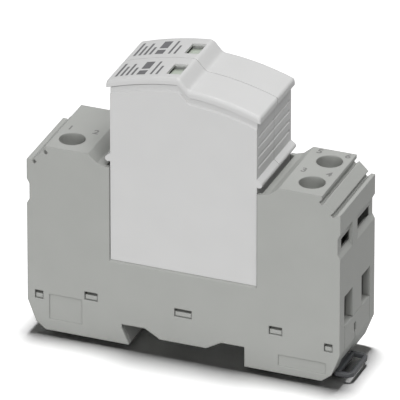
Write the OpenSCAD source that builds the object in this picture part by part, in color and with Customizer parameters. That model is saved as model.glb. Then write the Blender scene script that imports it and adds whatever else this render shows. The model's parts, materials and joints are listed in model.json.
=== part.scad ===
// Two-pole surge arrester for a 35 mm top-hat rail, with two plug-in modules.
// Origin at the middle of the rail seat: X across the rail, Y along it, Z away from it. Millimetres.

/* [Housing] */
// Length of the housing across the rail
base_l = 90; // [86:1:98]
// Width of the housing along the rail
base_w = 26; // [25:0.5:30]
// Height of the terminal towers above the rail seat
tower_top = 49.8; // [48:0.1:53]
// Depth of the feet below the rail seat
foot_drop = 5.9; // [5.4:0.1:6.4]
// Thickness of the side walls
side_wall = 1.3; // [1.1:0.1:1.5]
// Thickness of the end walls
end_wall = 2.2; // [1.8:0.1:2.5]
// Thickness of the wall over the terminal chambers
top_wall = 2; // [1.6:0.1:2.6]
// Thickness of the wall between the two modules
partition_t = 2.2; // [1.6:0.1:2.4]
// Height and length of the bevel on each tower's outer edge
tower_bevel = 5.3; // [4:0.1:6]
// Length of the slope from each tower down to the plugs
inner_slope_l = 5; // [4:0.1:6]
// Height of the slope from each tower down to the plugs
inner_slope_h = 3; // [2:0.1:3.4]
// Length of the chamfer at each end's lower corner
corner_l = 5.2; // [4:0.1:6]
// Height of the chamfer at each end's lower corner
corner_h = 8.4; // [7:0.1:10]
// Depth of the sunk panels on the near side
panel_sink = 0.3; // [0.1:0.05:0.5]

/* [Rail seat] */
// Width of the rail
rail_w = 35; // [35:0.1:35.4]
// Play of the rail in its seat, each side
rail_fit = 0.2; // [0.1:0.05:0.4]
// Height of the straight wall beside the rail's flange
rail_lip = 1.2; // [1.1:0.1:1.5]
// Reach of the fixed hook under the rail's flange
hook_reach = 2.1; // [1.5:0.1:2.6]
// Depth of the hump that dips into the rail's channel
hump_drop = 2.5; // [1:0.1:3]
// Half length of the hump at its foot
hump_half = 11; // [9:0.1:12]
// Thickness of the tray's floor
tray_t = 2; // [1.6:0.1:2.4]
// Play between the tray and the housing
tray_fit = 0.15; // [0.1:0.05:0.25]

/* [Foot latch] */
// Width of the latch's slider
latch_w = 9.6; // [8:0.1:10]
// Width of the slider's side flange
latch_flange = 0.9; // [0.6:0.1:1]
// Thickness of the slider's side flange
latch_flange_t = 1.3; // [1:0.1:1.4]
// Play of the latch in its channel
latch_fit = 0.2; // [0.1:0.05:0.3]
// Reach of the latch under the rail's flange
latch_reach = 2; // [1.5:0.1:2.5]
// How far the latch pulls out
latch_travel = 4.2; // [3.6:0.1:4.4]
// How far the pull loop stands out from the end wall
loop_out = 2.2; // [1.5:0.1:4]
// Thickness of the pull loop
loop_t = 1.2; // [1:0.1:1.6]

/* [Terminals] */
// Distance of the terminal screws from the housing's ends
term_in = 10.6; // [10:0.1:11]
// Radius of the screwdriver holes
hole_r = 3.6; // [3.5:0.05:3.8]
// Depth of the screw heads below the tower top
head_depth = 5; // [4.6:0.1:7]
// Radius of the screw heads
head_r = 3.3; // [3:0.05:3.3]
// Height of the screw heads
head_h = 3.4; // [2.8:0.1:4]
// Radius of the screw thread
thread_r = 2.5; // [2:0.05:2.6]
// Radial play of the thread in the clamp cage
thread_fit = 0.06; // [0.03:0.01:0.1]
// Length of a clamp cage across the rail
cage_l = 8; // [7:0.1:8.4]
// Play between a clamp cage and the side wall
cage_play = 0.5; // [0.4:0.05:0.8]
// Thickness of a clamp cage's walls
cage_wall = 1.2; // [1:0.1:1.3]
// Thickness of a clamp cage's nut
cage_nut = 3.5; // [3:0.1:4.5]
// Height of a wire entry
wire_h = 8.9; // [8.4:0.1:9.2]
// Height of a wire entry's lower edge above the rail seat
wire_z = 10; // [9.6:0.1:10.4]

/* [Contacts] */
// Thickness of the contact bars
bar_t = 1.5; // [1:0.1:1.8]
// Distance of the plug blades from the middle of the rail
blade_x = 13; // [11:0.1:15]
// Width of a plug blade
blade_w = 6; // [4:0.1:7]
// Thickness of a plug blade
blade_t = 1; // [0.8:0.1:1.2]
// Play between a blade and its clip or slot
blade_fit = 0.12; // [0.1:0.01:0.2]
// Thickness of the clip leaves
clip_t = 0.8; // [0.5:0.1:1]

/* [Plugs] */
// Half length of a plug across the rail
plug_half = 21; // [20:0.1:21.5]
// Height of the bay floor that the plugs stand on
bay_z = 19; // [18.4:0.1:20]
// Thickness of the bay floor
bay_floor = 2; // [1.6:0.1:2.4]
// Thickness of the bay's upright walls
bay_wall = 2; // [1.6:0.1:2.2]
// Play between the plugs and the bay's upright walls
bay_fit = 0.15; // [0.15:0.05:0.5]
// Gap between the two caps
plug_gap = 0.15; // [0.1:0.05:0.6]
// How far a cap's lip stands out from the shell
lip_out = 0.3; // [0.2:0.05:0.5]
// How far a shell's side panels stand out
panel_out = 0.4; // [0.2:0.05:0.6]
// Wall of a plug shell
shell_wall = 1.2; // [1:0.1:1.4]
// Height of the caps' highest point above the rail seat
cap_top = 77; // [75:0.1:80]
// Thickness of a cap
cap_t = 1.9; // [1.6:0.1:2.2]
// Rounding of a cap's long upper edges
cap_round = 0.9; // [0.5:0.05:1]
// Rounding of a cap's upper edges at its ends
cap_end_round = 0.6; // [0.3:0.05:0.7]
// How far a cap's lip passes the shell's ends
cap_over = 1.1; // [0.6:0.1:1.4]
// Fall of the cap's dome towards its far end
dome_fall = 4.5; // [3:0.1:5]
// Fall of the step in the cap
step_fall = 3.2; // [2.2:0.1:4]
// Length of the step in the cap
step_l = 2.9; // [2:0.1:4]
// Fall of the cap's nose beyond the step
nose_fall = 4.2; // [2:0.1:4.5]
// Height of the recessed band under the lip
band_h = 1.9; // [1.4:0.1:3]
// Number of grip grooves on each end
grooves = 4; // [2:1:4]
// Spacing of the grip grooves
groove_pitch = 3; // [2:0.1:3.2]
// Radius of the bead under the grip grooves
bead_r = 0.9; // [0.7:0.1:1]

/* [Status flag] */
// Distance between the status window and the step
window_x = 0.5; // [0.4:0.1:0.8]
// Length of the status window across the rail
window_l = 4; // [3:0.1:4.2]
// Width of the status window along the rail
window_w = 6.2; // [5:0.1:6.6]
// Thickness of the cap around the window
window_t = 0.8; // [0.7:0.05:1]
// Height of the varistor block
varistor_h = 32; // [26:0.5:33]

/* [Hidden] */
$fn = 64;
// A cut passes its face by this much
eps = 0.5;
// Colours
grey = [0.66, 0.66, 0.64];
pale = [0.83, 0.83, 0.83];
dark = [0.22, 0.23, 0.24];
steel = [0.72, 0.72, 0.7];
copper = [0.75, 0.5, 0.35];
// The two modules, and which end and module each terminal is in
near = -1;
far = 1;
pitch = base_w / 2;
terminals = [[-1, near], [1, near], [1, far]];
// Ends, walls and bay
end_x = base_l / 2;
chamber_x = end_x - end_wall;
inner_y = base_w / 2 - side_wall;
bay_half = plug_half + bay_fit;
bay_out = bay_half + bay_wall;
slope_rim = 1.2;
slope_x = bay_half + slope_rim;
slope_gap = 5;
slope_turn = [2.3, 0.7];
corner_turn = 0.46;
corner_up = 0.26;
ledge = 0.5;
// Tower edge: top plate, ridge between two grooves, end lip
plate_x = end_x - tower_bevel;
plate_t = 1.1;
lip_up = 0.4;
lip_z = tower_top - tower_bevel + lip_up;
lip_t = 1.3;
groove_w = 1;
// Marker grooves across the ends
mark_drop = 12.1;
mark_top = tower_top - mark_drop;
mark_h = 6;
mark_deep = 0.75;
mark_ramp = 1.4;
mark_slot_h = 3.2;
mark_slot_drop = 1;
mark_rim = 0.1;
mark_lip = 0.4;
mark_under = 1;
mark_side = 1.2;
rib_w = 3.7;
rib_hi = -0.2;
rib_lo = rib_hi - rib_w;
// Sunk panels on the near side: distances from their end in X, and heights above the feet
left_panel = [[6.3, 3.5], [15.7, 11]];
right_panel = [[17.6, 2.3], [4, 5.5]];
// Rail well and tray
well_half = rail_w / 2 + rail_fit;
hump_ramp = 4.3;
hump_flat = hump_half - hump_ramp;
seat_up = 0.2;
tray_top = tray_t + seat_up;
tray_y = inner_y - tray_fit;
plate_in = 3.6;
plate_y = base_w / 2 - plate_in;
foot_top = -foot_drop + tray_t;
// Snap windows: place along X, width, how much lower than the middle ones, and the foot of the hook
snap_end_in = 3.3;
snap_mid_in = 18.4;
snap_end = end_x - snap_end_in;
snap_mid = end_x - snap_mid_in;
snap_widths = [5, 3.8, 2.4];
snap_lower = 2.2;
hook_foot = foot_top - tray_t / 8;
end_foot = corner_up * corner_h - foot_drop + tray_t / 2;
snaps = [
  [0, snap_widths[0], 0, tray_top / 2],
  [snap_mid, snap_widths[1], 0, hook_foot], [-snap_mid, snap_widths[1], 0, hook_foot],
  [snap_end, snap_widths[2], snap_lower, end_foot], [-snap_end, snap_widths[2], snap_lower, end_foot]
];
snap_z = 5.4;
snap_h = 2.5;
hook_t = 1.2;
hook_in = 0.3;
hook_play = 0.2;
hook_gap = 1;
// Latch, its channel and its pull loop
latch_under = 0.1;
latch_top = -rail_lip - latch_under;
flange_z = latch_top - latch_flange_t;
channel_half = latch_w / 2 + latch_flange + latch_fit;
channel_t = 1.4;
loop_up = 0.2;
loop_z = loop_up - foot_drop;
loop_half = 6.4;
loop_in = 2.8;
loop_root = end_x - loop_in;
loop_play = 0.3;
loop_rim = 1;
loop_cut = 1.2;
latch_y = loop_half + latch_fit - plate_y;
// Slot over the latch in the tray's right end, with a line below it
key_shift = 1.3;
key_y = latch_y + key_shift;
key_w = 1.6;
key_z = 4.6;
key_h = 2.7;
key_line = 0.4;
// Terminals
term_x = end_x - term_in;
cage_w = pitch - 2 * (side_wall + cage_play);
wire_rim = 0.3;
wire_w = cage_w - 2 * (cage_wall + wire_rim);
bar_play = 0.4;
bar_w = cage_w - 2 * (cage_wall + bar_play);
bar_z = wire_z + wire_h;
bar_top = bar_z + bar_t;
nut_up = 0.5;
nut_z = bar_top + nut_up;
cage_floor = 2;
cage_drop = 0.1;
cage_low = wire_z - cage_drop - cage_floor;
head_top = tower_top - head_depth;
seat_z = head_top - head_h;
seat_t = 2.5;
shank_clear = 0.3;
guide_t = 1.4;
slot_turn = 25;
slot_w = 1;
slot_rim = 1.6;
slot_deep = 1.6;
post_half = 3;
// Contact bars and clips
bar_in = 1.4;
bar_up_x = bay_out + bar_in;
bar_past = 4.5;
bar_tail = 1;
clip_base = tray_top + bar_t;
clip_gap = 0.5;
clip_top = bay_z - bay_floor - clip_gap;
clip_flare = 0.6;
blade_up = 2.4;
blade_end = clip_base + blade_up;
slot_play = 0.5;
// Plug shells and caps
cap_w = pitch - plug_gap;
shell_w = cap_w - 2 * lip_out;
core_w = shell_w - 2 * panel_out;
room_y = core_w / 2 - shell_wall;
seam_y = cap_w / 2;
seam_round = 0.1;
room_x = plug_half - shell_wall;
shell_floor = 1.6;
step_x = -1.3;
step_soft = 0.3;
soft_x = [step_x - 3 * step_soft, step_x + step_l + 3 * step_soft];
cap_l = plug_half + cap_over;
bead_drop = 0.4;
bead_z = tower_top - bead_drop;
bead_out = 0.6;
bead_x = plug_half + bead_out;
bead_turn = 52;
groove_up = 4.8;
groove_z = bead_z + groove_up;
groove_deep = 0.25;
groove_rim = 1;
neck_in = 0.5;
neck_h = 0.45;
panel_slope = 0.5;
lug_l = 2;
lug_h = 1.6;
lug_fit = 0.15;
// Samples along each curved part of the cap
steps = 12;
soft_steps = 12;
round_steps = 4;
// Inside the plugs
blade_flange = 2;
varistor_z = bay_z + shell_floor + blade_flange;
varistor_top = varistor_z + varistor_h;
varistor_half = 17;
varistor_gap = 0.6;
varistor_y = room_y - varistor_gap;
window_lo = step_x - window_x - window_l;
window_shift = -0.6;
flag_over = 0.3;
flag_travel = window_l + flag_over;
flag_t = 0.9;
flag_gap = 0.12;
flag_play = 0.3;
flag_lo = window_lo - flag_over;
flag_hi = window_lo + window_l + flag_over;
flag_end = flag_lo - flag_travel;
flag_top = cap_z(flag_end) - window_t - flag_gap;
flag_rise = cap_z(flag_hi - flag_travel) - cap_z(flag_end);
flag_w = window_w + 2 * flag_over;
stem_t = 0.8;
stem_y = 2;
shoe_h = 3;
shoe_back = 3.4;
shoe_front = 2.8;
shoe_x = [flag_lo - shoe_back, flag_lo + shoe_front];
shoe_gap = 0.15;
red_t = 0.7;
red_x = [flag_lo + stem_t + flag_play, flag_hi - flag_play];
red_z = flag_top - flag_t - flag_gap - red_t;
rib_t = 1.2;
spring_r = 1.1;
spring_wire = 0.22;
spring_turns = 6;
spring_steps = 16;
spring_sides = 6;
spring_room = 6.8;
spring_stop = shoe_x[1] + spring_room;

// Height of the cap's upper side at a place along X, with the step's edges softened
function cap_z(x) = (
  cap_raw(x - 2 * step_soft) + cap_raw(x - step_soft) + cap_raw(x) + cap_raw(x + step_soft)
  + cap_raw(x + 2 * step_soft)
) / 5;
// The same with sharp edges: dome, step, nose
function cap_raw(x) =
  x <= step_x ? cap_top - dome_fall * dome_share((step_x - x) / (cap_l + step_x))
  : x <= step_x + step_l ? cap_top - step_fall * (x - step_x) / step_l
  : cap_top - step_fall - nose_fall * nose_share(nose_u(x));
// Share of the dome's fall at a place, from 0 at the step to 1 at the cap's end
function dome_share(u) = 0.4 * u + 0.6 * u * u;
// Place along the nose, from 0 at the step to 1 at the cap's end, and its share of the fall there
function nose_u(x) = (x - step_x - step_l) / (cap_l - step_x - step_l);
function nose_share(u) = 0.26 * u + 0.74 * u * u;
// Points along the cap's upper side between two places, lowered by a drop
function cap_line(x0, x1, drop) = concat(
  [for (i = [0 : steps]) cap_point(x0 + (soft_x[0] - x0) * i / steps, drop)],
  [for (i = [1 : soft_steps - 1]) cap_point(soft_x[0] + (soft_x[1] - soft_x[0]) * i / soft_steps, drop)],
  [for (i = [0 : steps]) cap_point(soft_x[1] + (x1 - soft_x[1]) * i / steps, drop)]
);
function cap_point(x, drop) = [x, cap_z(x) - drop];
// Triangles over rows of points that form a closed tube with flat ends
function tube_faces(rows, n) = concat(
  [
    for (i = [0 : rows - 2])
      for (j = [0 : n - 1])
        for (half = [0, 1])
          let (
            a = i * n + j,
            b = i * n + (j + 1) % n
          )
          half == 0 ? [a, b, b + n] : [a, b + n, a + n]
  ],
  [[for (j = [n - 1 : -1 : 0]) j], [for (j = [0 : n - 1]) (rows - 1) * n + j]]
);
// Places and insets of a quarter round, from a face to the next, in a number of steps
function quarter(r) = [
  for (i = [0 : round_steps])
    let (turn = 90 * i / round_steps)
    r * [1 - cos(turn), 1 - sin(turn)]
];
// Section of a cap in Y and depth, drawn in by an inset, with both upper edges rounded, less so at the seam
function cap_section(side, inset) = concat(
  [for (q = quarter(side == near ? cap_round : seam_round)) [inset - seam_y + q[0], inset + q[1]]],
  [
    for (i = [round_steps : -1 : 0])
      let (q = quarter(side == far ? cap_round : seam_round)[i])
      [seam_y - inset - q[0], inset + q[1]]
  ],
  [[seam_y - inset, cap_t], [inset - seam_y, cap_t]]
);
// Places along a cap with their insets, rounded at both ends
function cap_rows() = concat(
  [for (i = [0 : round_steps - 1]) let (q = quarter(cap_end_round)[i]) [q[0] - cap_l, q[1]]],
  [for (p = cap_line(cap_end_round - cap_l, cap_l - cap_end_round, 0)) [p[0], 0]],
  [for (i = [round_steps - 1 : -1 : 0]) let (q = quarter(cap_end_round)[i]) [cap_l - q[0], q[1]]]
);

// Draws X and Z upright with a width along Y, centred on a place
module upright(width, y = 0) {
  translate([0, y + width / 2, 0])
    rotate([90, 0, 0])
      linear_extrude(height = width)
        children();
}

// Draws Y and Z upright with a length along X, centred on a place
module lengthways(length, x = 0) {
  translate([x - length / 2, 0, 0])
    rotate([90, 0, 90])
      linear_extrude(height = length)
        children();
}

// A box from its lowest corner to its highest
module block(low, high) {
  translate(low)
    cube(high - low);
}

// The same drawing on both ends
module both_ends() {
  children();
  mirror([1, 0, 0])
    children();
}

// Places something at each terminal, as if it were on the right
module at_terminals() {
  for (t = terminals)
    at_terminal(t)
      children();
}

module at_terminal(t) {
  translate([0, t[1] * pitch / 2, 0])
    mirror([t[0] < 0 ? 1 : 0, 0, 0])
      children();
}

// Places a plug's piece at the near or far module
module at_plug(side) {
  translate([0, side * pitch / 2, 0])
    children();
}

// Housing outline in X and Z, before the bay and the rail well
module outline() {
  both_ends()
    polygon([
      [-1, -foot_drop], [end_x - corner_l, -foot_drop],
      [end_x - corner_turn * corner_l, corner_up * corner_h - foot_drop],
      [end_x, corner_h - foot_drop], [end_x, lip_z],
      [end_x - lip_t, lip_z], [plate_x, tower_top - plate_t],
      [plate_x, tower_top], [-1, tower_top]
    ]);
}

// Grooves beside the bevel's ridge, in X and Z
module bevel_grooves() {
  both_ends() {
    translate([plate_x + 0.2, tower_top - plate_t - groove_w / 2])
      rotate(-45)
        square([groove_w, 2 * groove_w], center = true);
    translate([end_x - lip_t - groove_w / 2, lip_z])
      rotate(-45)
        square([groove_w, 2 * groove_w], center = true);
  }
}

// Bay for the plugs with the slopes down to it, in X and Z
module bay() {
  translate([-bay_half, bay_z])
    square([2 * bay_half, tower_top]);
  both_ends()
    polygon([
      [-1, tower_top - inner_slope_h], [slope_x, tower_top - inner_slope_h],
      [slope_x + slope_turn[0], tower_top - inner_slope_h + slope_turn[1]],
      [slope_x + inner_slope_l, tower_top], [slope_x + inner_slope_l, tower_top + 1],
      [-1, tower_top + 1]
    ]);
}

// Space of the rail below the seat, in X and Z
module rail_well() {
  polygon([
    [-well_half, 0], [-hump_half, 0], [-hump_flat, -hump_drop],
    [hump_flat, -hump_drop], [hump_half, 0], [well_half, 0],
    [well_half, -2 * foot_drop], [hook_reach - well_half, -2 * foot_drop],
    [hook_reach - well_half, -foot_drop], [-well_half, -rail_lip]
  ]);
}

// Inside of the housing, open below, in X and Z
module cavity() {
  translate([-chamber_x, -2 * foot_drop])
    square([2 * chamber_x, 2 * foot_drop + bay_z - bay_floor]);
  both_ends()
    polygon([
      [bay_out, bay_z - bay_floor - 1], [chamber_x, bay_z - bay_floor - 1],
      [chamber_x, lip_z - end_wall], [plate_x - top_wall, tower_top - top_wall - groove_w],
      [slope_x + inner_slope_l, tower_top - top_wall],
      [bay_out, tower_top - inner_slope_h - top_wall]
    ]);
}

// Marker groove and its slots, cut into the right end
module marker_cuts() {
  for (y = [[-base_w / 2 - eps, rib_lo], [rib_hi, base_w / 2 + eps]])
    upright(y[1] - y[0], (y[0] + y[1]) / 2)
      polygon([
        [end_x + eps, mark_top + mark_ramp], [end_x, mark_top + mark_ramp], [end_x - mark_deep, mark_top],
        [end_x - mark_deep, mark_top - mark_h + mark_ramp], [end_x, mark_top - mark_h],
        [end_x + eps, mark_top - mark_h]
      ]);
  for (y = [[mark_side - inner_y, rib_lo - mark_rim], [rib_hi + mark_rim, inner_y - mark_side]])
    marker_slot(y[0], y[1]);
}

// Slot from one place along Y to another, wider downwards and towards its far side behind a thin lip
module marker_slot(low, high) {
  lip_x = end_x - mark_deep - mark_lip;
  top = mark_top - mark_slot_drop;
  block([chamber_x - eps, low, top - mark_slot_h], [end_x, high, top]);
  block([chamber_x - eps, low, top - mark_slot_h - mark_under], [lip_x, high + mark_side, top]);
}

// Snap windows through both side walls
module snap_windows() {
  for (s = snaps)
    block(
      [s[0] - s[1] / 2, -base_w, snap_z - s[2]],
      [s[0] + s[1] / 2, base_w, snap_z - s[2] + snap_h]
    );
}

// Holes in the guide tubes of the terminal screws
module screw_holes() {
  at_terminals() {
    translate([term_x, 0, seat_z])
      cylinder(r = hole_r, h = tower_top - seat_z + eps);
    translate([term_x, 0, seat_z - seat_t - eps])
      cylinder(r = thread_r + shank_clear, h = seat_t + 2 * eps);
  }
}

// Chamfered ledge along the foot of each plug panel, and the sunk panels of the near side
module side_details() {
  for (side = [near, far])
    lengthways(2 * bay_half)
      polygon([
        [side * base_w / 2, bay_z - ledge], [side * (base_w / 2 + eps), bay_z - ledge],
        [side * (base_w / 2 + eps), bay_z + eps], [side * (base_w / 2 - ledge), bay_z + eps],
        [side * (base_w / 2 - ledge), bay_z]
      ]);
  block(
    [left_panel[0][0] - end_x, -base_w / 2 - eps, left_panel[0][1] - foot_drop],
    [left_panel[1][0] - end_x, panel_sink - base_w / 2, left_panel[1][1] - foot_drop]
  );
  block(
    [end_x - right_panel[0][0], -base_w / 2 - eps, right_panel[0][1] - foot_drop],
    [end_x - right_panel[1][0], panel_sink - base_w / 2, right_panel[1][1] - foot_drop]
  );
}

module housing() {
  color(grey)
    difference() {
      union() {
        difference() {
          upright(base_w)
            difference() {
              outline();
              bevel_grooves();
              rail_well();
            }
          upright(2 * inner_y)
            cavity();
        }
        both_ends()
          block(
            [bay_out - eps, -partition_t / 2, bay_z - bay_floor],
            [chamber_x + eps, partition_t / 2, lip_z - end_wall]
          );
        at_terminals()
          translate([term_x, 0, seat_z - seat_t])
            cylinder(r = hole_r + guide_t, h = tower_top - top_wall / 2 - seat_z + seat_t);
      }
      upright(base_w + 1)
        bay();
      screw_holes();
      snap_windows();
      side_details();
      both_ends() {
        marker_cuts();
        block(
          [bay_half - eps, -inner_y, tower_top - inner_slope_h - slope_gap],
          [slope_x, inner_y, tower_top]
        );
        block([chamber_x - eps, -plate_y, -2 * foot_drop], [end_x + eps, plate_y, wire_z]);
      }
      at_terminals()
        block([chamber_x - eps, -wire_w / 2, wire_z - eps], [end_x + eps, wire_w / 2, wire_z + wire_h]);
      for (side = [near, far])
        at_plug(side)
          for (x = [-blade_x, blade_x])
            block(
              [x - blade_w / 2 - slot_play, -blade_t / 2 - slot_play, bay_z - bay_floor - eps],
              [x + blade_w / 2 + slot_play, blade_t / 2 + slot_play, bay_z + eps]
            );
    }
}

// Tray section in X and Z: floor, rail seat and end plates
module tray_section() {
  difference() {
    outline();
    rail_well();
    translate([-base_l, wire_z - tray_fit])
      square([2 * base_l, base_l]);
    both_ends()
      polygon([
        [-1, tray_top], [well_half + tray_t, tray_top], [well_half + tray_t, foot_top],
        [end_x - corner_l - tray_t / 2, foot_top],
        [chamber_x - corner_turn * corner_l, corner_up * corner_h - foot_drop + tray_t / 2],
        [chamber_x, corner_h - foot_drop], [chamber_x, wire_z], [-1, wire_z]
      ]);
  }
}

// Hook that snaps into one window, in Y and Z
module hook_section(low, z) {
  polygon([
    [tray_y - hook_t, low], [tray_y, low], [tray_y, z + hook_play],
    [base_w / 2 - hook_in, z + hook_play], [base_w / 2 - hook_in, z + snap_h - hook_gap],
    [tray_y - hook_t, z + snap_h - hook_gap]
  ]);
}

module floor_tray() {
  color(grey)
    difference() {
      union() {
        upright(2 * (plate_y - tray_fit))
          tray_section();
        upright(2 * tray_y)
          intersection() {
            tray_section();
            translate([tray_fit - chamber_x, -base_l])
              square([2 * (chamber_x - tray_fit), 2 * base_l]);
          }
        for (s = snaps)
          for (side = [0, 1])
            mirror([0, side, 0])
              lengthways(s[1] - 2 * hook_play, s[0])
                hook_section(s[3], snap_z - s[2]);
        at_terminals()
          block(
            [term_x - post_half, -post_half, foot_top - tray_t / 4],
            [term_x + post_half, post_half, cage_low]
          );
        upright(2 * (channel_half + channel_t), latch_y)
          intersection() {
            outline();
            translate([well_half, -foot_drop])
              square([chamber_x - well_half, foot_drop + latch_top + latch_fit + channel_t]);
          }
      }
      block(
        [chamber_x - eps, key_y - key_w / 2, key_z],
        [end_x + eps, key_y + key_w / 2, key_z + key_h]
      );
      upright(key_line, key_y)
        difference() {
          translate([eps, 0])
            outline();
          translate([-key_line, -1])
            outline();
          translate([-base_l, key_z])
            square([2 * base_l, base_l]);
        }
      translate([0, latch_y, 0]) {
        block(
          [well_half - eps, -latch_w / 2 - latch_fit, -foot_drop - eps],
          [end_x + eps, latch_w / 2 + latch_fit, latch_top + latch_fit]
        );
        block(
          [well_half + latch_fit, -channel_half, flange_z],
          [chamber_x - tray_t / 2, channel_half, latch_top + latch_fit]
        );
        block(
          [loop_root - loop_play, -loop_half - loop_play, -foot_drop - eps],
          [end_x + eps, loop_half + loop_play, loop_z + loop_t + loop_play]
        );
      }
    }
}

module foot_latch() {
  tip = well_half - latch_reach;
  loop_end = end_x + loop_out;
  slider_end = loop_root - loop_play;
  color(dark)
    translate([0, latch_y, 0]) {
      upright(latch_w)
        polygon([
          [tip, latch_top], [slider_end, latch_top], [slider_end, loop_z],
          [tip + latch_reach, loop_z], [tip, latch_top - latch_reach / 2]
        ]);
      block(
        [well_half + 4 * latch_fit, -latch_w / 2 - latch_flange, flange_z],
        [chamber_x - latch_travel - tray_t, latch_w / 2 + latch_flange, latch_top]
      );
      translate([0, 0, loop_z])
        linear_extrude(height = loop_t)
          difference() {
            polygon([
              [slider_end - 1, -latch_w / 2], [loop_root, -latch_w / 2], [loop_root, -loop_half],
              [loop_end - loop_cut, -loop_half], [loop_end, loop_cut - loop_half],
              [loop_end, loop_half - loop_cut], [loop_end - loop_cut, loop_half],
              [loop_root, loop_half], [loop_root, latch_w / 2], [slider_end - 1, latch_w / 2]
            ]);
            translate([loop_root + loop_rim, loop_rim - loop_half])
              square([loop_end - loop_root - 2 * loop_rim, 2 * (loop_half - loop_rim)]);
          }
    }
}

// Screw with a cross slot in its head, on the axis of its terminal
module terminal_screw() {
  color(steel)
    difference() {
      union() {
        translate([term_x, 0, nut_z])
          cylinder(r = thread_r, h = seat_z - nut_z + eps);
        translate([term_x, 0, seat_z])
          cylinder(r = head_r, h = head_h);
      }
      for (turn = [0, 90])
        translate([term_x, 0, head_top])
          rotate(turn + slot_turn)
            cube([2 * head_r - slot_rim, slot_w, 2 * slot_deep], center = true);
    }
}

// Rising cage: nut above the bar, floor below the wire
module clamp_cage() {
  color(steel)
    difference() {
      block(
        [term_x - cage_l / 2, -cage_w / 2, cage_low],
        [term_x + cage_l / 2, cage_w / 2, nut_z + cage_nut]
      );
      block(
        [term_x - cage_l, cage_wall - cage_w / 2, cage_low + cage_floor],
        [term_x + cage_l, cage_w / 2 - cage_wall, nut_z]
      );
      translate([term_x, 0, nut_z - eps])
        cylinder(r = thread_r + thread_fit, h = cage_nut + 2 * eps);
    }
}

// Bent bar in X and Z, from under the plug blade up to the terminal
module bar_section() {
  polygon([
    [blade_x - bar_past, tray_top], [bar_up_x + bar_t, tray_top], [bar_up_x + bar_t, bar_z],
    [term_x + cage_l / 2 + bar_tail, bar_z], [term_x + cage_l / 2 + bar_tail, bar_top],
    [bar_up_x, bar_top], [bar_up_x, clip_base], [blade_x - bar_past, clip_base]
  ]);
}

module contact_bar() {
  color(copper)
    upright(bar_w)
      bar_section();
}

// Bar of the left terminal, with a foot that reaches both plugs
module common_bar() {
  color(copper)
    mirror([1, 0, 0]) {
      at_plug(near)
        upright(bar_w)
          bar_section();
      block(
        [blade_x - bar_past, -pitch / 2, tray_top],
        [bar_up_x, pitch / 2 + bar_w / 2, clip_base]
      );
    }
}

// Spring clip with two leaves, open upwards, for one blade
module blade_clip(x) {
  gap = blade_t / 2 + blade_fit;
  out = gap + clip_t;
  color(copper)
    lengthways(blade_w, x)
      polygon([
        [-out, clip_base], [out, clip_base], [out, clip_top - clip_flare],
        [out + clip_flare, clip_top], [gap + clip_flare, clip_top], [gap, clip_top - clip_flare],
        [gap, clip_base + clip_t], [-gap, clip_base + clip_t], [-gap, clip_top - clip_flare],
        [-gap - clip_flare, clip_top], [-out - clip_flare, clip_top], [-out, clip_top - clip_flare]
      ]);
}

// Side of a plug in X and Z, below the cap's upper side by a drop
module plug_side(drop) {
  polygon(concat(
    [[-plug_half, bay_z]], cap_line(-plug_half, plug_half, drop), [[plug_half, bay_z]]
  ));
}

// Bead on the right end with a slope above it, in X and Z
module grip_bead() {
  nose = [bead_x + bead_r * cos(bead_turn), bead_z + bead_r * sin(bead_turn)];
  translate([bead_x, bead_z])
    circle(r = bead_r);
  polygon([
    [plug_half - eps, bead_z], nose,
    [plug_half, nose[1] + (nose[0] - plug_half) / tan(bead_turn)],
    [plug_half - eps, nose[1] + (nose[0] - plug_half) / tan(bead_turn)]
  ]);
}

// Shallow groove with sloped sides on the right end, in X and Z
module grip_groove(z) {
  polygon([
    [plug_half - groove_deep, z - groove_deep], [plug_half - groove_deep, z + groove_deep],
    [plug_half + groove_deep, z + 3 * groove_deep], [plug_half + groove_deep, z - 3 * groove_deep]
  ]);
}

// Sloped upper edge of the side panel, along the cap's line
module panel_edges(drop) {
  line = cap_line(-plug_half, plug_half, drop);
  section = [[-core_w / 2, 0], [0, 0], [0, panel_slope], [-shell_w / 2, panel_slope]];
  polyhedron(
    [for (p = line) for (q = section) [p[0], q[0], p[1] - q[1]]],
    tube_faces(len(line), len(section)),
    convexity = 4
  );
}

// Draws X and Z upright from a distance on the outer side of a plug to the seam
module to_seam(out) {
  upright(out + seam_y, (seam_y - out) / 2)
    children();
}

// Shell as on the near side, its outer panel towards the near side and flush at the seam
module plug_shell() {
  color(pale)
    difference() {
      union() {
        difference() {
          union() {
            to_seam(core_w / 2 - neck_in)
              plug_side(cap_t);
            to_seam(core_w / 2)
              plug_side(cap_t + neck_h);
            panel_edges(cap_t + band_h);
            to_seam(shell_w / 2) {
              plug_side(cap_t + band_h + panel_slope);
              both_ends()
                grip_bead();
            }
          }
          block([-room_x, -room_y, bay_z + shell_floor], [room_x, room_y, cap_top]);
        }
        block([red_x[1] - rib_t, -room_y - eps, varistor_top + shoe_h + 1], [red_x[1], room_y + eps, red_z]);
        block(
          [spring_stop, -room_y - eps, varistor_top + shoe_gap],
          [spring_stop + rib_t, room_y + eps, varistor_top + shoe_h + 1]
        );
      }
      translate([0, eps, 0])
        to_seam(shell_w / 2 - groove_rim + eps)
          both_ends()
            for (i = [0 : grooves - 1])
              grip_groove(groove_z + i * groove_pitch);
      for (x = [-blade_x, blade_x])
        block(
          [x - blade_w / 2 - blade_fit, -blade_t / 2 - blade_fit, bay_z - eps],
          [x + blade_w / 2 + blade_fit, blade_t / 2 + blade_fit, bay_z + shell_floor + eps]
        );
    }
}

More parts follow.
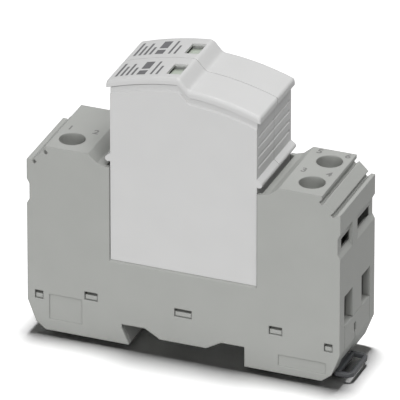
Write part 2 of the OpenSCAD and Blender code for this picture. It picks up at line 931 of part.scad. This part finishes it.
module plug_cap(side) {
  lug = room_x - lug_fit;
  room_start = flag_end - flag_play;
  room_end = flag_hi + flag_play;
  color(pale)
    difference() {
      union() {
        polyhedron(
          [for (r = cap_rows()) for (q = cap_section(side, r[1])) [r[0], q[0], cap_z(r[0]) - q[1]]],
          tube_faces(len(cap_rows()), len(cap_section(side, 0))),
          convexity = 4
        );
        for (end = [-1, 1])
          block(
            [end * (lug - lug_l / 2) - lug_l / 2, lug_fit - room_y, cap_z(end * lug) - cap_t - lug_h],
            [end * (lug - lug_l / 2) + lug_l / 2, room_y - lug_fit, cap_z(end * lug) - cap_t / 2]
          );
      }
      block(
        [window_lo, window_shift - window_w / 2, 0],
        [window_lo + window_l, window_shift + window_w / 2, 2 * cap_top]
      );
      upright(flag_w + 2 * flag_play, window_shift)
        polygon(concat(
          [[room_end, 0], [room_start, 0]],
          [for (i = [0 : steps]) cap_point(room_start + (room_end - room_start) * i / steps, window_t)]
        ));
    }
}

module varistor() {
  color([0.2, 0.3, 0.5])
    block([-varistor_half, -varistor_y, varistor_z], [varistor_half, varistor_y, varistor_top]);
}

// Blade with a flange that stands on the shell's floor and carries the varistor
module plug_blade(x) {
  color(steel)
    translate([x, 0, 0]) {
      upright(blade_t)
        polygon([
          [-blade_w / 2, varistor_z], [-blade_w / 2, blade_end + blade_t], [blade_t - blade_w / 2, blade_end],
          [blade_w / 2 - blade_t, blade_end], [blade_w / 2, blade_end + blade_t], [blade_w / 2, varistor_z]
        ]);
      block(
        [-blade_w / 2 - blade_t, -2 * blade_t, bay_z + shell_floor],
        [blade_w / 2 + blade_t, 2 * blade_t, varistor_z]
      );
    }
}

// Slide that carries the green flag on a stem above the varistor
module flag_slide() {
  shoe_z = varistor_top + shoe_gap;
  color([0.35, 0.55, 0.3]) {
    block([shoe_x[0], -stem_y - 1, shoe_z], [shoe_x[1], stem_y + 1, shoe_z + shoe_h]);
    block([flag_lo, -stem_y, shoe_z], [flag_lo + stem_t, stem_y, flag_top]);
    upright(flag_w, window_shift)
      polygon([
        [flag_lo, flag_top - flag_t], [flag_hi, flag_top + flag_rise - flag_t],
        [flag_hi, flag_top + flag_rise], [flag_lo, flag_top]
      ]);
  }
}

// Red field that shows in the window once the flag has moved away
module red_field() {
  color([0.7, 0.1, 0.1])
    block(
      [red_x[0], window_shift - window_w / 2, red_z],
      [red_x[1], window_shift + window_w / 2, red_z + red_t]
    );
}

// Compressed spring between the flag's shoe and its stop
module trip_spring() {
  rings = spring_turns * spring_steps;
  first = shoe_x[1] + 2 * spring_wire;
  length = spring_stop - 2 * spring_wire - first;
  mid_z = varistor_top + shoe_gap + shoe_h / 2;
  points = [
    for (i = [0 : rings])
      for (j = [0 : spring_sides - 1])
        let (
          turn = 360 * i / spring_steps,
          around = 360 * j / spring_sides,
          r = spring_r + spring_wire * cos(around)
        )
        [first + length * i / rings + spring_wire * sin(around), r * cos(turn), mid_z + r * sin(turn)]
  ];
  color(steel)
    polyhedron(points, tube_faces(rings + 1, spring_sides), convexity = 10);
}

housing();
floor_tray();
foot_latch();
at_terminal(terminals[0]) terminal_screw();  // left_terminal_screw
at_terminal(terminals[1]) terminal_screw();  // near_terminal_screw
at_terminal(terminals[2]) terminal_screw();  // far_terminal_screw
at_terminal(terminals[0]) clamp_cage();  // left_clamp_cage
at_terminal(terminals[1]) clamp_cage();  // near_clamp_cage
at_terminal(terminals[2]) clamp_cage();  // far_clamp_cage
common_bar();
at_plug(near) contact_bar();  // near_bar
at_plug(far) contact_bar();  // far_bar
at_plug(near) blade_clip(-blade_x);  // left_near_clip
at_plug(far) blade_clip(-blade_x);  // left_far_clip
at_plug(near) blade_clip(blade_x);  // right_near_clip
at_plug(far) blade_clip(blade_x);  // right_far_clip
at_plug(near) plug_shell();  // near_plug_shell
at_plug(far) mirror([0, 1, 0]) plug_shell();  // far_plug_shell
at_plug(near) plug_cap(near);  // near_plug_cap
at_plug(far) plug_cap(far);  // far_plug_cap
at_plug(near) varistor();  // near_varistor
at_plug(far) varistor();  // far_varistor
at_plug(near) plug_blade(-blade_x);  // near_left_blade
at_plug(near) plug_blade(blade_x);  // near_right_blade
at_plug(far) plug_blade(-blade_x);  // far_left_blade
at_plug(far) plug_blade(blade_x);  // far_right_blade
at_plug(near) flag_slide();  // near_flag_slide
at_plug(far) flag_slide();  // far_flag_slide
at_plug(near) red_field();  // near_red_field
at_plug(far) red_field();  // far_red_field
at_plug(near) trip_spring();  // near_trip_spring
at_plug(far) trip_spring();  // far_trip_spring
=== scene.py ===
import json
import math

import bpy
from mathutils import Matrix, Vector
from mathutils.bvhtree import BVHTree


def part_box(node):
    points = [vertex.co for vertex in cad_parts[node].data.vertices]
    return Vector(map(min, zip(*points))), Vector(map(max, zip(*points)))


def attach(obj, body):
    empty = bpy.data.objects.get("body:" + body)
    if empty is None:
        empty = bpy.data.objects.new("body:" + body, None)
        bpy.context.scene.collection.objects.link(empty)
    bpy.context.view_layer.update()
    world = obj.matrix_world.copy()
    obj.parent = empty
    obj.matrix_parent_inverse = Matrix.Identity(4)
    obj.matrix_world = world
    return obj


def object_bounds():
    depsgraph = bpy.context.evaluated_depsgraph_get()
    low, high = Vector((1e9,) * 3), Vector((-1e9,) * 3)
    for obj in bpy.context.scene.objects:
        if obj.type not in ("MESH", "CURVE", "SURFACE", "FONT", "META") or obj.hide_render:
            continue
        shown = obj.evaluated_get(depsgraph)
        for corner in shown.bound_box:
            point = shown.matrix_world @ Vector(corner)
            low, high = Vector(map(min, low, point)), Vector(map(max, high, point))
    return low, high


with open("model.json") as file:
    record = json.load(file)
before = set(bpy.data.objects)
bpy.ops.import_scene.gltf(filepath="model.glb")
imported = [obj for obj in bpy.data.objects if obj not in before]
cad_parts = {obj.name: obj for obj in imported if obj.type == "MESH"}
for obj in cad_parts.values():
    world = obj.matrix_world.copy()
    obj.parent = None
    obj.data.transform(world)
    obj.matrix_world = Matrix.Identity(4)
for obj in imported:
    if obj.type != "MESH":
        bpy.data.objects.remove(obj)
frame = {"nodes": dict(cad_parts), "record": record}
cad_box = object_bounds()
nodes = frame["nodes"]
MM = 0.001

# Camera: a long lens above the near right corner, aimed at the middle of the object
IMAGE_PX = 400
SENSOR_MM = 36
FOCAL_PX = 10121
CAMERA_AZIMUTH = math.radians(21.53)
CAMERA_ELEVATION = math.radians(27.57)
CAMERA_DISTANCE = 2.712
CAMERA_AIM = Vector((-0.19, 0, 34.75)) * MM
CAMERA_REACH = 50

# Light on the object: very weak light from all round, soft lamps low and high in front, and soft lamps
# high behind it and at its right. These lamps leave out the floor, which has a smaller lamp of its own,
# almost straight above it.
WORLD_LEVEL = 0.02
WORLD_SEEN = 1.0
# Each lamp: name, place, diameter, watts, and whether it lights the floor
LAMPS = [
    ("front", Vector((-0.15, -1.95, 0.22)), 1.0, 19.2, "EXCLUDE"),
    ("key", Vector((0.1, -1.45, 1.05)), 0.6, 5.5, "EXCLUDE"),
    ("back", Vector((0.17, 0.75, 1.5)), 1.0, 15.6, "EXCLUDE"),
    ("right", Vector((0.6, -0.6, 1.5)), 1.0, 12, "EXCLUDE"),
    ("table", Vector((-0.05, 0.14, 1.8)), 0.36, 28, "INCLUDE"),
]
# The floor lies where the rail's underside would be, and it is paler to the camera than to the object
FLOOR_Z = -7.5 * MM
FLOOR_HALF = 4.0
FLOOR_PAINT = 0.75
FLOOR_SEEN = 1.32

# Finishes: the part of the noise's range that is used, the grain's height and the blotches' noise scale
NOISE_LOW = 0.3
NOISE_HIGH = 0.7
GRAIN_HEIGHT = 0.02 * MM
BLOTCHES = 90
EVEN = (1, 1, 1)
# Soft edges of the moulded pieces
EDGE_RADIUS = 0.5 * MM
FINE_EDGE = 0.2 * MM
EDGE_SAMPLES = 8

# Marks printed on the caps and beside the terminals
INK_LIFT = 0.02 * MM
DIGIT_SIZE = 3.2 * MM
DIGIT_BOLD = 0.1 * MM
DIGITS = [
    ("1", -37.3, -0.6), ("2", -29.9, -0.6),
    ("3", 29.8, -0.6), ("4", 37.0, -0.6),
    ("5", 29.9, 11.0), ("6", 38.0, 11.0),
]
# Bars on one cap: start and end along X, then along Y from the middle of the cap
BARS = [
    (-20.4, -19.7, -4.2, 3.8), (-18.9, -18.2, -4.2, 1.6), (-17.4, -16.7, -4.2, 3.0),
    (-15.9, -15.2, -4.2, 0.4), (-14.2, -11.8, -4.2, -1.6), (-14.2, -11.8, -0.6, 3.8),
    (-10.4, -9.8, -4.2, 3.8), (-8.8, -8.2, -4.2, 1.0),
]
BAR_STEPS = 6


def make_camera():
    data = bpy.data.cameras.new("camera")
    data.sensor_width = SENSOR_MM
    data.lens = FOCAL_PX / IMAGE_PX * SENSOR_MM
    data.clip_end = CAMERA_REACH
    camera = bpy.data.objects.new("camera", data)
    flat = math.cos(CAMERA_ELEVATION)
    back = Vector((
        math.sin(CAMERA_AZIMUTH) * flat,
        -math.cos(CAMERA_AZIMUTH) * flat,
        math.sin(CAMERA_ELEVATION),
    ))
    camera.location = CAMERA_AIM + CAMERA_DISTANCE * back
    camera.rotation_euler = back.to_track_quat("Z", "Y").to_euler()
    bpy.context.scene.collection.objects.link(camera)
    bpy.context.scene.camera = camera


def area_lamp(name, place, size, watts, floor_state, floor):
    data = bpy.data.lights.new(name, "AREA")
    data.shape = "DISK"
    data.size = size
    data.energy = watts
    lamp = bpy.data.objects.new(name, data)
    lamp.location = place
    lamp.rotation_euler = (place - CAMERA_AIM).to_track_quat("Z", "Y").to_euler()
    bpy.context.scene.collection.objects.link(lamp)
    receivers = bpy.data.collections.new(name + "_receivers")
    receivers.objects.link(floor)
    receivers.collection_objects[0].light_linking.link_state = floor_state
    lamp.light_linking.receiver_collection = receivers


def seen_directly(tree):
    """1 for rays from the camera, from mirrors and through glass, else 0."""
    path = tree.nodes.new("ShaderNodeLightPath")
    total = path.outputs["Is Camera Ray"]
    for kind in ("Is Glossy Ray", "Is Transmission Ray"):
        larger = tree.nodes.new("ShaderNodeMath")
        larger.operation = "MAXIMUM"
        tree.links.new(total, larger.inputs[0])
        tree.links.new(path.outputs[kind], larger.inputs[1])
        total = larger.outputs[0]
    return total


def make_world():
    world = bpy.data.worlds.new("world")
    world.use_nodes = True
    bpy.context.scene.world = world
    tree = world.node_tree
    backdrop = tree.nodes["Background"]
    level = tree.nodes.new("ShaderNodeMapRange")
    level.inputs["To Min"].default_value = WORLD_LEVEL
    level.inputs["To Max"].default_value = WORLD_SEEN
    tree.links.new(seen_directly(tree), level.inputs["Value"])
    tree.links.new(level.outputs["Result"], backdrop.inputs["Strength"])
    backdrop.inputs["Color"].default_value = (1, 1, 1, 1)


def make_floor():
    material = bpy.data.materials.new("floor")
    material.use_nodes = True
    tree = material.node_tree
    tree.nodes.remove(tree.nodes["Principled BSDF"])
    paint = tree.nodes.new("ShaderNodeBsdfDiffuse")
    tone = tree.nodes.new("ShaderNodeMapRange")
    tone.inputs["To Min"].default_value = FLOOR_PAINT
    tone.inputs["To Max"].default_value = FLOOR_SEEN
    path = tree.nodes.new("ShaderNodeLightPath")
    tree.links.new(path.outputs["Is Camera Ray"], tone.inputs["Value"])
    tree.links.new(tone.outputs["Result"], paint.inputs["Color"])
    tree.links.new(paint.outputs[0], tree.nodes["Material Output"].inputs["Surface"])
    mesh = bpy.data.meshes.new("floor")
    corners = [(-1, -1), (1, -1), (1, 1), (-1, 1)]
    mesh.from_pydata([(x * FLOOR_HALF, y * FLOOR_HALF, FLOOR_Z) for x, y in corners], [], [(0, 1, 2, 3)])
    mesh.materials.append(material)
    floor = bpy.data.objects.new("floor", mesh)
    bpy.context.scene.collection.objects.link(floor)
    return floor


def noise(tree, scale, detail, stretch=EVEN):
    """Noise fixed to the object, with grains of about 1 / scale metres."""
    place = tree.nodes.new("ShaderNodeTexCoord")
    squeeze = tree.nodes.new("ShaderNodeMapping")
    squeeze.inputs["Scale"].default_value = stretch
    texture = tree.nodes.new("ShaderNodeTexNoise")
    texture.inputs["Scale"].default_value = scale
    texture.inputs["Detail"].default_value = detail
    tree.links.new(place.outputs["Object"], squeeze.inputs["Vector"])
    tree.links.new(squeeze.outputs["Vector"], texture.inputs["Vector"])
    return texture.outputs["Fac"]


def spread(tree, value, low, high):
    """Maps noise to a range."""
    level = tree.nodes.new("ShaderNodeMapRange")
    level.inputs["From Min"].default_value = NOISE_LOW
    level.inputs["From Max"].default_value = NOISE_HIGH
    level.inputs["To Min"].default_value = low
    level.inputs["To Max"].default_value = high
    tree.links.new(value, level.inputs["Value"])
    return level.outputs["Result"]


def two_tones(tree, value, colour, change):
    """Colour that varies a little with noise."""
    ramp = tree.nodes.new("ShaderNodeValToRGB")
    places = (NOISE_LOW, NOISE_HIGH)
    for stop, place, factor in zip(ramp.color_ramp.elements, places, (1 - change, 1 + change)):
        stop.position = place
        stop.color = [min(1, c * factor) for c in colour] + [1]
    tree.links.new(value, ramp.inputs["Fac"])
    return ramp.outputs["Color"]


def surface(
    name, colour, change, roughness, bump, grain, blotch=BLOTCHES, stretch=EVEN, metal=0.0, edge=EDGE_RADIUS
):
    """A finish with blotches of colour, a range of roughness, a fine grain and soft edges."""
    material = bpy.data.materials.new(name)
    material.use_nodes = True
    tree = material.node_tree
    shader = tree.nodes["Principled BSDF"]
    shader.inputs["Metallic"].default_value = metal
    tree.links.new(two_tones(tree, noise(tree, blotch, 3), colour, change), shader.inputs["Base Color"])
    fine = noise(tree, grain, 2, stretch)
    tree.links.new(spread(tree, fine, *roughness), shader.inputs["Roughness"])
    relief = tree.nodes.new("ShaderNodeBump")
    relief.inputs["Strength"].default_value = bump
    relief.inputs["Distance"].default_value = GRAIN_HEIGHT
    tree.links.new(fine, relief.inputs["Height"])
    tree.links.new(relief.outputs["Normal"], shader.inputs["Normal"])
    if edge > 0:
        bevel = tree.nodes.new("ShaderNodeBevel")
        bevel.samples = EDGE_SAMPLES
        bevel.inputs["Radius"].default_value = edge
        tree.links.new(bevel.outputs["Normal"], relief.inputs["Normal"])
    return material


def make_materials():
    return {
        "housing_plastic": surface("housing_plastic", (0.37, 0.377, 0.36), 0.02, (0.48, 0.6), 0.35, 4500),
        "plug_plastic": surface(
            "plug_plastic", (0.6, 0.6, 0.597), 0.012, (0.42, 0.52), 0.25, 4500, edge=FINE_EDGE),
        "latch_plastic": surface("latch_plastic", (0.06, 0.063, 0.067), 0.08, (0.4, 0.55), 0.4, 4000),
        "plated_steel": surface(
            "plated_steel", (0.56, 0.56, 0.54), 0.08, (0.25, 0.42), 0.3, 1500, 300, (1, 1, 0.1), 1.0, 0),
        "contact_brass": surface(
            "contact_brass", (0.62, 0.42, 0.2), 0.08, (0.25, 0.4), 0.3, 1500, 300, (0.1, 1, 1), 1.0, 0),
        "varistor_body": surface("varistor_body", (0.02, 0.05, 0.15), 0.1, (0.3, 0.45), 0.4, 1200),
        "flag_green": surface("flag_green", (0.48, 0.525, 0.46), 0.05, (0.4, 0.5), 0.25, 4500),
        "field_red": surface("field_red", (0.4, 0.02, 0.02), 0.05, (0.4, 0.5), 0.25, 4500),
    }


def finish_nodes(materials):
    """Gives every solid its finish."""
    for part in frame["record"]["subparts"]:
        thing = nodes[part["node"]]
        thing.data.materials.clear()
        thing.data.materials.append(materials[part["material_slot"]])


def height_over(node):
    """A function that finds the highest point of a solid over a place."""
    thing = nodes[node]
    points = [thing.matrix_world @ v.co for v in thing.data.vertices]
    tree = BVHTree.FromPolygons(points, [tuple(p.vertices) for p in thing.data.polygons])
    sky = cad_box[1][2] + 1

    def height(x, y):
        return tree.ray_cast(Vector((x, y, sky)), Vector((0, 0, -1)))[0].z

    return height


def print_mark(name, corners, faces, node, body, material):
    """A thin mark that lies on a solid and goes with its body."""
    height = height_over(node)
    mesh = bpy.data.meshes.new(name)
    mesh.from_pydata([(x, y, height(x, y) + INK_LIFT) for x, y in corners], [], faces)
    mesh.materials.append(material)
    mark = bpy.data.objects.new(name, mesh)
    bpy.context.scene.collection.objects.link(mark)
    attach(mark, body)


def print_bars(side, middle, material):
    """All the bars of one cap as one piece."""
    corners, faces = [], []
    for x0, x1, y0, y1 in BARS:
        first = len(corners)
        for step in range(BAR_STEPS + 1):
            y = middle + y0 + (y1 - y0) * step / BAR_STEPS
            corners += [(x0 * MM, y * MM), (x1 * MM, y * MM)]
        for step in range(BAR_STEPS):
            a = first + 2 * step
            faces.append((a, a + 1, a + 3, a + 2))
    print_mark(side + "_cap_bars", corners, faces, side + "_plug_cap", side + "_plug", material)


def print_digit(digit, x, y, material):
    """A plain number beside a terminal hole."""
    curve = bpy.data.curves.new("digit", "FONT")
    curve.body = digit
    curve.size = DIGIT_SIZE
    curve.offset = DIGIT_BOLD
    curve.align_x = "CENTER"
    curve.align_y = "CENTER"
    letter = bpy.data.objects.new("digit", curve)
    bpy.context.scene.collection.objects.link(letter)
    ready = letter.evaluated_get(bpy.context.evaluated_depsgraph_get())
    flat = ready.to_mesh()
    corners = [(x * MM + v.co.x, y * MM + v.co.y) for v in flat.vertices]
    faces = [tuple(p.vertices) for p in flat.polygons]
    ready.to_mesh_clear()
    bpy.data.objects.remove(letter)
    print_mark("digit_" + digit, corners, faces, "housing", "base", material)


def print_marks():
    ink = surface("cap_ink", (0.1, 0.1, 0.105), 0.15, (0.5, 0.65), 0.2, 4000, edge=0)
    pale_ink = surface("digit_ink", (0.19, 0.19, 0.185), 0.1, (0.5, 0.65), 0.2, 4000, edge=0)
    for side, node in (("near", "near_plug_cap"), ("far", "far_plug_cap")):
        low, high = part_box(node)
        print_bars(side, (low[1] + high[1]) / 2 / MM, ink)
    for digit, x, y in DIGITS:
        print_digit(digit, x, y, pale_ink)


make_camera()
make_world()
floor = make_floor()
for lamp in LAMPS:
    area_lamp(*lamp, floor)
materials = make_materials()
finish_nodes(materials)
print_marks()
bpy.context.scene.view_settings.view_transform = "Standard"
